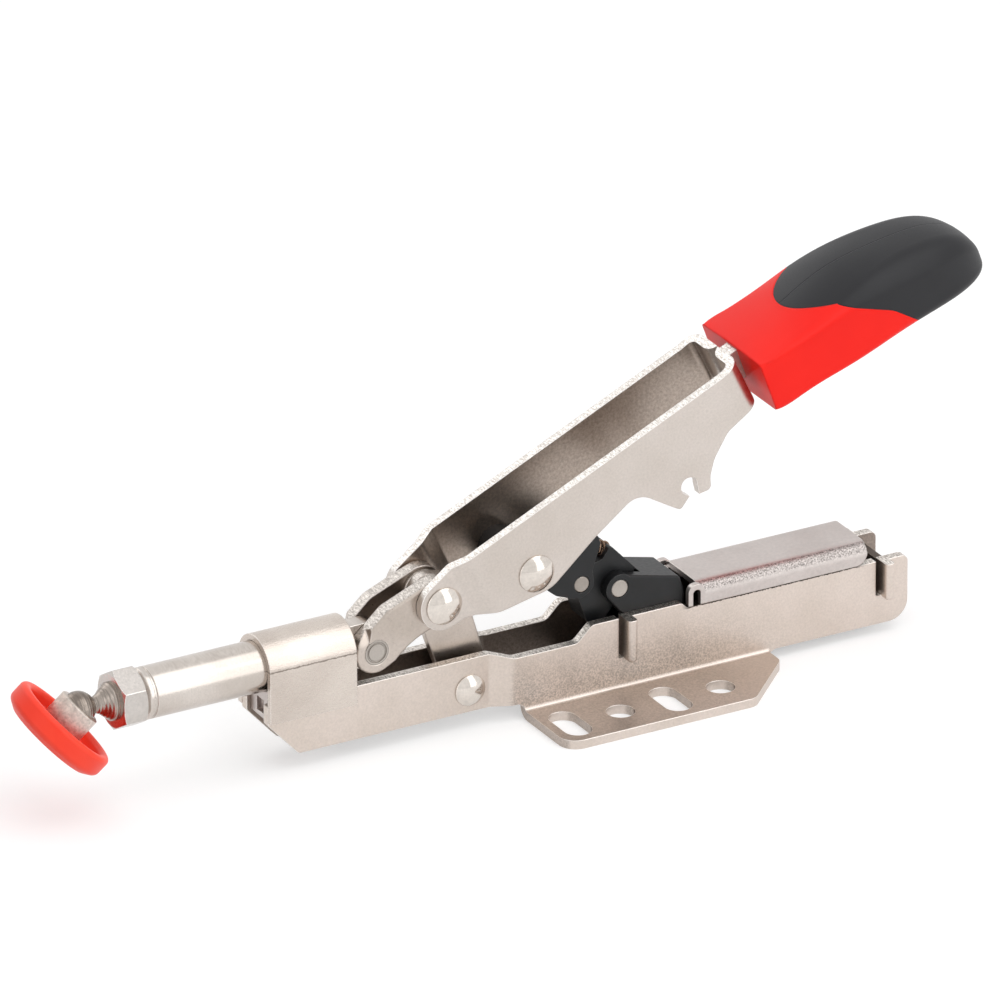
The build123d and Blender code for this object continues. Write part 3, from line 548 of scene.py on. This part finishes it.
black_oxide = blackened("hot_black_oxide_steel", "#17181a", "#111213", "#6b6a68")
finish(black_oxide, "thrust_lever", "wedge_lever", "carriage", "pivot_sleeve_right",
       "pivot_sleeve_left")

# ------------------------------------------------------------ spring
# Small compression spring that loads the knee of the thrust link, wound from drawn
# patented wire. Oil tempering leaves it a coppery brown.
wire = nickel_plate("oil_tempered_wire", "#a08672", "#7f6858", "#c0a996", 0.28, 0.3, 3)
finish(wire, "coil_spring")

# ------------------------------------------------------------ studio
# Pale paper floor that keeps the soft shadow, a white surround and six soft lamps, with
# the camera at the front left. The two fills are left out of the metal's reflections.
FLOOR_GLOW_SHARE, FLOOR_GLOW = 0.20, 2.3
ROOM_LIGHT = 0.30
bpy.ops.mesh.primitive_plane_add(size=6.0, location=(0, 0, 0))
floor = bpy.context.object
floor.name = "studio_floor"
paper, tree, shader, place = blank_material("matt_paper_white")
seen = add(tree, "ShaderNodeLightPath", {})
either = add(tree, "ShaderNodeMath",
             {0: seen.outputs["Is Camera Ray"], 1: seen.outputs["Is Glossy Ray"]},
             operation="MAXIMUM")
share = add(tree, "ShaderNodeMath", {0: either.outputs[0], 1: FLOOR_GLOW_SHARE},
            operation="MULTIPLY")
glow = add(tree, "ShaderNodeEmission", {"Color": colour("#ffffff"), "Strength": FLOOR_GLOW})
fibre = add(tree, "ShaderNodeTexNoise", {"Vector": place, "Scale": per_mm(3), "Detail": 2.0})
tone = add(tree, "ShaderNodeMapRange",
           {"Value": fibre.outputs["Fac"], "To Min": 0.74, "To Max": 0.77})
tree.links.new(tone.outputs[0], shader.inputs["Base Color"])
shader.inputs["Roughness"].default_value = 1.0
shader.inputs["Specular IOR Level"].default_value = 0.0
mixed = add(tree, "ShaderNodeMixShader",
            {0: share.outputs[0], 1: shader.outputs[0], 2: glow.outputs[0]})
tree.links.new(mixed.outputs[0], tree.nodes["Material Output"].inputs["Surface"])
floor.data.materials.append(paper)

# white for the camera, reflections and anything clear; only a part of it lights the object
world = bpy.data.worlds.new("pale_surround")
bpy.context.scene.world = world
world.use_nodes = True
tree = world.node_tree
seen = add(tree, "ShaderNodeLightPath", {})
lit = add(tree, "ShaderNodeMapRange",
          {"Value": seen.outputs["Is Glossy Ray"], "To Min": ROOM_LIGHT, "To Max": 1.0})
shown = add(tree, "ShaderNodeMath",
            {0: seen.outputs["Is Camera Ray"], 1: seen.outputs["Is Transmission Ray"]},
            operation="MAXIMUM")
strength = add(tree, "ShaderNodeMath", {0: shown.outputs[0], 1: lit.outputs[0]},
               operation="MAXIMUM")
tree.links.new(strength.outputs[0], tree.nodes["Background"].inputs["Strength"])
tree.nodes["Background"].inputs["Color"].default_value = colour("#ffffff")


def lamp(name, place, aim, width, height, watts):
    """A soft rectangular lamp at a place, turned to a point."""
    light = bpy.data.lights.new(name, "AREA")
    light.shape = "RECTANGLE"
    light.size = width
    light.size_y = height
    light.energy = watts
    ob = bpy.data.objects.new(name, light)
    bpy.context.collection.objects.link(ob)
    ob.location = place
    away = [a - b for a, b in zip(place, aim)]
    flat_run = math.hypot(away[0], away[1])
    ob.rotation_euler = (math.atan2(flat_run, away[2]), 0, math.atan2(away[0], -away[1]))
    return ob


lamp("front_box", (0.45, -0.55, 1.25), (0, 0, 0.03), 1.0, 1.0, 3.4)
lamp("tall_window", (0.72, -1.32, 0.80), (0, 0, 0.80), 0.85, 1.5, 4.2)
lamp("left_card", (-1.6, -0.3, 0.5), (0, 0, 0.03), 0.9, 0.9, 2.2)
lamp("back_card", (-0.4, 1.42, 1.03), (0, 0, 0.03), 0.9, 0.9, 2.2)
for name, place, size, power in (("overhead_fill", (0.1, 0.1, 1.4), 2.2, 15),
                                 ("front_fill", (0.1, -1.5, 0.7), 1.0, 8)):
    fill = lamp(name, place, (0, 0, 0.03), size, size, power)
    fill.visible_glossy = False

# The camera looks 25 degrees down from six metres; FRAME_WIDTH is what it sees across there.
CENTRE = (-0.01236, 0.02811, 0.03942)
FORWARD = (0.4463, 0.7888, -0.4226)
REACH = 6.0
FRAME_WIDTH = 0.2381
SENSOR = 36.0
AZIMUTH, DOWN = -29.5, 25
camera = bpy.data.objects.new("camera", bpy.data.cameras.new("camera"))
bpy.context.collection.objects.link(camera)
camera.location = [c - REACH * f for c, f in zip(CENTRE, FORWARD)]
camera.rotation_euler = (math.radians(90 - DOWN), 0, math.radians(AZIMUTH))
camera.data.sensor_width = SENSOR
camera.data.lens = SENSOR * REACH / FRAME_WIDTH
camera.data.clip_start = 0.1
camera.data.clip_end = 50.0
bpy.context.scene.camera = camera
bpy.context.scene.view_settings.view_transform = "Standard"
